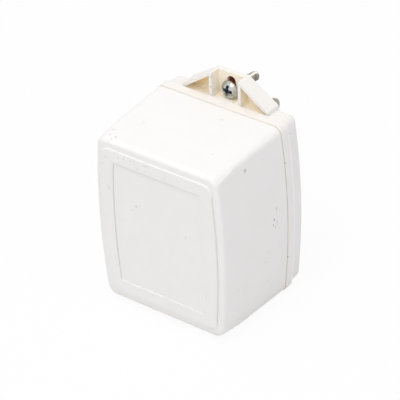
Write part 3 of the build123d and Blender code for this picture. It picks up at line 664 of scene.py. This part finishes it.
def as_piece(shape, name):
    """Object from a bmesh, at the origin."""
    mesh = bpy.data.meshes.new(name)
    shape.to_mesh(mesh)
    shape.free()
    piece = bpy.data.objects.new(name, mesh)
    bpy.context.scene.collection.objects.link(piece)
    return piece


def finished(piece):
    """Bakes a piece's modifiers into its mesh and removes them."""
    evaluated = piece.evaluated_get(bpy.context.evaluated_depsgraph_get())
    mesh = bpy.data.meshes.new_from_object(evaluated)
    piece.modifiers.clear()
    piece.data = mesh
    return piece


def head_profile():
    """Screw head from its top to the neck's end: a low dome, a short side and a flat underside."""
    rise = HEAD_HEIGHT - HEAD_SIDE
    sphere = (HEAD_RADIUS**2 + rise**2) / (2 * rise)
    points = [(0.0, -HEAD_HEIGHT)]
    for i in range(1, DOME_STEPS):
        radius = HEAD_RADIUS * i / DOME_STEPS
        # The dome is rounder towards its rim than a plain sphere
        plain = sphere - math.sqrt(sphere**2 - radius**2)
        steep = rise * (radius / HEAD_RADIUS) ** DOME_RIM_POWER
        drop = plain * DOME_SPHERE_SHARE + steep * (1 - DOME_SPHERE_SHARE)
        points.append((radius, -HEAD_HEIGHT + drop))
    points += [
        (HEAD_RADIUS - HEAD_EDGE * 0.3, -HEAD_SIDE - HEAD_EDGE * 0.5),
        (HEAD_RADIUS, -HEAD_SIDE + HEAD_EDGE * 0.5),
        (HEAD_RADIUS, -HEAD_EDGE),
        (HEAD_RADIUS - HEAD_EDGE, 0.0),
        (SCREW_NECK_RADIUS + HEAD_EDGE, 0.0),
        (SCREW_NECK_RADIUS, HEAD_EDGE),
        (SCREW_NECK_RADIUS, SCREW_THREAD_START / 2),
        (SCREW_NECK_RADIUS, SCREW_THREAD_START),
        (SCREW_NECK_RADIUS, SCREW_THREAD_START + NECK_STUB),
        (0.0, SCREW_THREAD_START + NECK_STUB),
    ]
    return points


def cross_cutter():
    """Form of the driver's tip: four tapered wings with slanted corners between them."""
    shape = bmesh.new()
    rings = []
    for under_top, reach, half, corner in CROSS_LEVELS:
        ring = []
        for quarter in range(4):
            turn = Matrix.Rotation(quarter * math.pi / 2 + CROSS_TURN, 3, "Z")
            for x, y in ((half, corner), (half, reach), (-half, reach), (-half, corner)):
                ring.append(shape.verts.new(turn @ Vector((x, y, under_top - HEAD_HEIGHT))))
        rings.append(ring)
    count = len(rings[0])
    for low, high in zip(rings, rings[1:]):
        for i in range(count):
            j = (i + 1) % count
            shape.faces.new((low[i], low[j], high[j], high[i]))
    shape.faces.new(rings[0])
    tip = shape.verts.new((0, 0, CROSS_LEVELS[-1][0] - HEAD_HEIGHT + CROSS_POINT))
    for i in range(count):
        shape.faces.new((rings[-1][i], rings[-1][(i + 1) % count], tip))
    bmesh.ops.recalc_face_normals(shape, faces=shape.faces)
    return shape


def screw_head():
    """Head with its cross recess, neck and end face; the thread comes between them."""
    head = as_piece(turned_shape(head_profile(), SCREW_AROUND), "mounting_screw_detailed")
    cutter = as_piece(cross_cutter(), "driver tip")
    for material in (screw_material, thread_material, recess_shade_material):
        head.data.materials.append(material)
    cutter.data.materials.append(recess_shade_material)
    cut = head.modifiers.new("cross recess", "BOOLEAN")
    cut.operation = "DIFFERENCE"
    cut.solver = "EXACT"
    cut.material_mode = "TRANSFER"
    cut.object = cutter
    soft = head.modifiers.new("worn edges", "BEVEL")
    soft.width = WORN_EDGE
    soft.segments = 2
    soft.limit_method = "ANGLE"
    soft.angle_limit = WORN_EDGE_ANGLE
    finished(head)
    bpy.data.objects.remove(cutter)

    # The neck's closed stub gives way to the thread, which ends in a small flat face
    shape = bmesh.new()
    shape.from_mesh(head.data)
    stub = [v for v in shape.verts if v.co.z > SCREW_THREAD_START + SEAM]
    bmesh.ops.delete(shape, geom=stub, context="VERTS")
    end_radius = SCREW_MAJOR_RADIUS - SCREW_POINT
    end_face = shape.faces.new(circle(shape, end_radius, SCREW_LENGTH, SCREW_AROUND))
    end_face.material_index = THREAD_INDEX
    shape.to_mesh(head.data)
    shape.free()
    return head


def thread_tree():
    """Rolled thread along Z: the rows of a grid follow the helix."""
    tree = bpy.data.node_groups.new("rolled thread", "GeometryNodeTree")
    sockets = tree.interface
    for name in ("Pitch", "Major Radius", "Minor Radius", "Neck Radius", "Start", "End", "Point"):
        sockets.new_socket(name, in_out="INPUT", socket_type="NodeSocketFloat")
    for name in ("Turns", "Rows Per Turn", "Around"):
        sockets.new_socket(name, in_out="INPUT", socket_type="NodeSocketInt")
    sockets.new_socket("Thread Material", in_out="INPUT", socket_type="NodeSocketMaterial")
    sockets.new_socket("Geometry", in_out="OUTPUT", socket_type="NodeSocketGeometry")
    given = add(tree, "NodeGroupInput").outputs

    rows = math_step(tree, "MULTIPLY_ADD", given["Turns"], given["Rows Per Turn"], 1.0)
    columns = math_step(tree, "ADD", given["Around"], 1.0)
    grid = add(
        tree,
        "GeometryNodeMeshGrid",
        [("Vertices X", columns), ("Vertices Y", rows)],
        Size_X=1.0,
        Size_Y=1.0,
    )
    start = add(tree, "GeometryNodeInputPosition").outputs["Position"]
    spread = add(tree, "ShaderNodeSeparateXYZ", [("Vector", start)]).outputs
    round_share = math_step(tree, "ADD", spread["X"], 0.5)
    row_share = math_step(tree, "ADD", spread["Y"], 0.5)
    turns_up = math_step(tree, "MULTIPLY", row_share, given["Turns"])
    rise = math_step(tree, "ADD", turns_up, round_share)
    rise = math_step(tree, "SUBTRACT", rise, 1.0)
    along = math_step(tree, "MULTIPLY_ADD", rise, given["Pitch"], given["Start"])
    along = math_step(tree, "MAXIMUM", along, given["Start"])
    along = math_step(tree, "MINIMUM", along, given["End"])

    # A 60 degree thread with a narrow flat crest and root
    phase = math_step(tree, "FRACT", turns_up)
    slant = math_step(tree, "ABSOLUTE", math_step(tree, "MULTIPLY_ADD", phase, 2.0, -1.0))
    slant = math_step(tree, "MULTIPLY_ADD", slant, -FLANK_SLOPE, FLANK_TOP)
    slant = math_step(tree, "MAXIMUM", math_step(tree, "MINIMUM", slant, 1.0), 0.0)
    thread_height = math_step(tree, "SUBTRACT", given["Major Radius"], given["Minor Radius"])
    radius = math_step(tree, "MULTIPLY_ADD", slant, thread_height, given["Minor Radius"])

    # It runs out to the neck, and the point is chamfered
    from_start = math_step(tree, "SUBTRACT", along, given["Start"])
    run_in = math_step(tree, "DIVIDE", from_start, given["Pitch"], clamp=True)
    radius = math_step(tree, "SUBTRACT", radius, given["Neck Radius"])
    radius = math_step(tree, "MULTIPLY_ADD", radius, run_in, given["Neck Radius"])
    to_end = math_step(tree, "SUBTRACT", given["End"], along)
    at_point = math_step(tree, "SUBTRACT", given["Major Radius"], given["Point"])
    radius = math_step(tree, "MINIMUM", radius, math_step(tree, "ADD", at_point, to_end))
    past_end = math_step(tree, "LESS_THAN", to_end, AT_END)
    slack = math_step(tree, "SUBTRACT", at_point, radius)
    radius = math_step(tree, "MULTIPLY_ADD", slack, past_end, radius)

    angle = math_step(tree, "MULTIPLY", round_share, 2 * math.pi)
    x = math_step(tree, "MULTIPLY", radius, math_step(tree, "COSINE", angle))
    y = math_step(tree, "MULTIPLY", radius, math_step(tree, "SINE", angle))
    spot = add(tree, "ShaderNodeCombineXYZ", [("X", x), ("Y", y), ("Z", along)])
    rolled = add(
        tree,
        "GeometryNodeSetPosition",
        [("Geometry", grid.outputs["Mesh"]), ("Position", spot.outputs["Vector"])],
    )
    merged = add(
        tree,
        "GeometryNodeMergeByDistance",
        [("Geometry", rolled.outputs["Geometry"])],
        Distance=SEAM,
    )
    real = add(tree, "GeometryNodeRealizeInstances", [("Geometry", merged.outputs["Geometry"])])
    painted = add(
        tree,
        "GeometryNodeSetMaterial",
        [("Geometry", real.outputs["Geometry"]), ("Material", given["Thread Material"])],
    )
    add(tree, "NodeGroupOutput", [("Geometry", painted.outputs["Geometry"])])
    return tree


def set_input(modifier, name, value):
    """Sets a tree's named input by its socket's identifier."""
    for socket in modifier.node_group.interface.items_tree:
        if socket.in_out == "INPUT" and socket.name == name:
            modifier[socket.identifier] = value


def rolled_thread():
    """The thread as a plain mesh, open at both ends."""
    piece = as_piece(bmesh.new(), "rolled thread")
    modifier = piece.modifiers.new("thread", "NODES")
    modifier.node_group = thread_tree()
    inputs = {
        "Pitch": SCREW_PITCH,
        "Major Radius": SCREW_MAJOR_RADIUS,
        "Minor Radius": SCREW_MINOR_RADIUS,
        "Neck Radius": SCREW_NECK_RADIUS,
        "Start": SCREW_THREAD_START,
        "End": SCREW_LENGTH,
        "Point": SCREW_POINT,
        "Turns": math.ceil((SCREW_LENGTH - SCREW_THREAD_START) / SCREW_PITCH) + 1,
        "Rows Per Turn": SCREW_ROWS_PER_TURN,
        "Around": SCREW_AROUND,
        "Thread Material": thread_material,
    }
    for name, value in inputs.items():
        set_input(modifier, name, value)
    return finished(piece)


def mounting_screw():
    """Number 6-32 pan head screw with its cross recess, neck and rolled thread."""
    screw = screw_head()
    thread = rolled_thread()
    shape = bmesh.new()
    shape.from_mesh(thread.data)
    for face in shape.faces:
        face.material_index = THREAD_INDEX
    shape.from_mesh(screw.data)
    bmesh.ops.remove_doubles(shape, verts=shape.verts, dist=SEAM)
    bmesh.ops.recalc_face_normals(shape, faces=shape.faces)
    shape.to_mesh(screw.data)
    shape.free()
    bpy.data.objects.remove(thread)
    axis = Vector(
        (
            math.sin(SCREW_TURN) * math.cos(SCREW_DROOP),
            math.cos(SCREW_TURN) * math.cos(SCREW_DROOP),
            -math.sin(SCREW_DROOP),
        )
    )
    side = Vector((math.cos(SCREW_TURN), -math.sin(SCREW_TURN), 0.0))
    turn = Matrix((side, axis.cross(side), axis)).transposed().to_4x4()
    screw.data.transform(Matrix.Translation(SCREW_SEAT) @ turn)
    screw.data.shade_smooth()
    screw.data.set_sharp_from_angle(angle=SHARP_ANGLE)
    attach(screw, "root")
    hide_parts("mounting_screw")


mounting_screw()


def place_camera():
    """Camera on the photograph's line of sight."""
    azimuth, elevation = CAMERA_AZIMUTH, CAMERA_ELEVATION
    back = Vector(
        (
            math.sin(azimuth) * math.cos(elevation),
            -math.cos(azimuth) * math.cos(elevation),
            math.sin(elevation),
        )
    )
    side = Vector((math.cos(azimuth), math.sin(azimuth), 0.0))
    above = back.cross(side)
    right = math.cos(CAMERA_ROLL) * side + math.sin(CAMERA_ROLL) * above
    up = -math.sin(CAMERA_ROLL) * side + math.cos(CAMERA_ROLL) * above
    location = CAMERA_TARGET + CAMERA_DISTANCE * back
    middle = FRAME_PIXELS / 2
    aim = (
        -back
        + right * (middle - TARGET_PIXEL[0]) / FOCAL_PIXELS
        - up * (middle - TARGET_PIXEL[1]) / FOCAL_PIXELS
    ).normalized()
    right = (right - aim * right.dot(aim)).normalized()
    up = right.cross(aim)
    data = bpy.data.cameras.new("camera")
    data.sensor_width = SENSOR_WIDTH
    data.lens = FOCAL_PIXELS * SENSOR_WIDTH / FRAME_PIXELS
    data.clip_start = CLIP_NEAR
    data.clip_end = CLIP_FAR
    camera = bpy.data.objects.new("camera", data)
    turn = Matrix((right, up, -aim)).transposed().to_4x4()
    camera.matrix_world = Matrix.Translation(location) @ turn
    bpy.context.scene.collection.objects.link(camera)
    bpy.context.scene.camera = camera


def lamp(name, location, size, power, colour):
    """Square soft lamp that faces the object."""
    data = bpy.data.lights.new(name, "AREA")
    data.shape = "SQUARE"
    data.size = size
    data.energy = power
    data.color = linear(colour)[:3]
    light = bpy.data.objects.new(name, data)
    place = Vector(location)
    turn = place.to_track_quat("Z", "Y").to_matrix().to_4x4()
    light.matrix_world = Matrix.Translation(place) @ turn
    bpy.context.scene.collection.objects.link(light)


def seen_share(tree):
    """One for rays that the camera sends out, also by way of polished metal or glass."""
    rays = add(tree, "ShaderNodeLightPath").outputs
    seen = math_step(tree, "MAXIMUM", rays["Is Camera Ray"], rays["Is Glossy Ray"])
    return math_step(tree, "MAXIMUM", seen, rays["Is Transmission Ray"])


def white_room():
    """World that lights softly, and that shows plain white to the camera and in polished metal."""
    world = bpy.data.worlds.new("studio")
    world.use_nodes = True
    tree = world.node_tree
    tree.nodes.clear()
    strength = add(
        tree,
        "ShaderNodeMapRange",
        [("Value", seen_share(tree))],
        To_Min=WORLD_STRENGTH,
        To_Max=1.0,
    )
    light = add(tree, "ShaderNodeBackground", [("Strength", strength.outputs["Result"])])
    light.inputs["Color"].default_value = (1.0, 1.0, 1.0, 1.0)
    add(tree, "ShaderNodeOutputWorld", [("Surface", light.outputs["Background"])])
    bpy.context.scene.world = world


def white_floor():
    """Pale paper under the object, which keeps a faint shadow."""
    material = bpy.data.materials.new("white paper floor")
    material.use_nodes = True
    tree = material.node_tree
    tree.nodes.clear()
    paper = add(tree, "ShaderNodeBsdfDiffuse", Color=linear(FLOOR_COLOUR))
    glow = add(tree, "ShaderNodeEmission", Strength=1.0)
    share = math_step(tree, "MULTIPLY", seen_share(tree), FLOOR_GLOW)
    mixed = add(
        tree,
        "ShaderNodeMixShader",
        [(0, share), (1, paper.outputs["BSDF"]), (2, glow.outputs["Emission"])],
    )
    add(tree, "ShaderNodeOutputMaterial", [("Surface", mixed.outputs["Shader"])])
    mesh = bpy.data.meshes.new("floor")
    signs = [(-1, -1), (1, -1), (1, 1), (-1, 1)]
    corners = [(x * FLOOR_HALF, y * FLOOR_HALF, FLOOR_HEIGHT) for x, y in signs]
    mesh.from_pydata(corners, [], [(0, 1, 2, 3)])
    mesh.materials.append(material)
    floor = bpy.data.objects.new("floor", mesh)
    bpy.context.scene.collection.objects.link(floor)


place_camera()
white_room()
white_floor()
for name, location, size, power, colour in LAMPS:
    lamp(name, location, size, power, colour)
bpy.context.scene.view_settings.view_transform = "Standard"
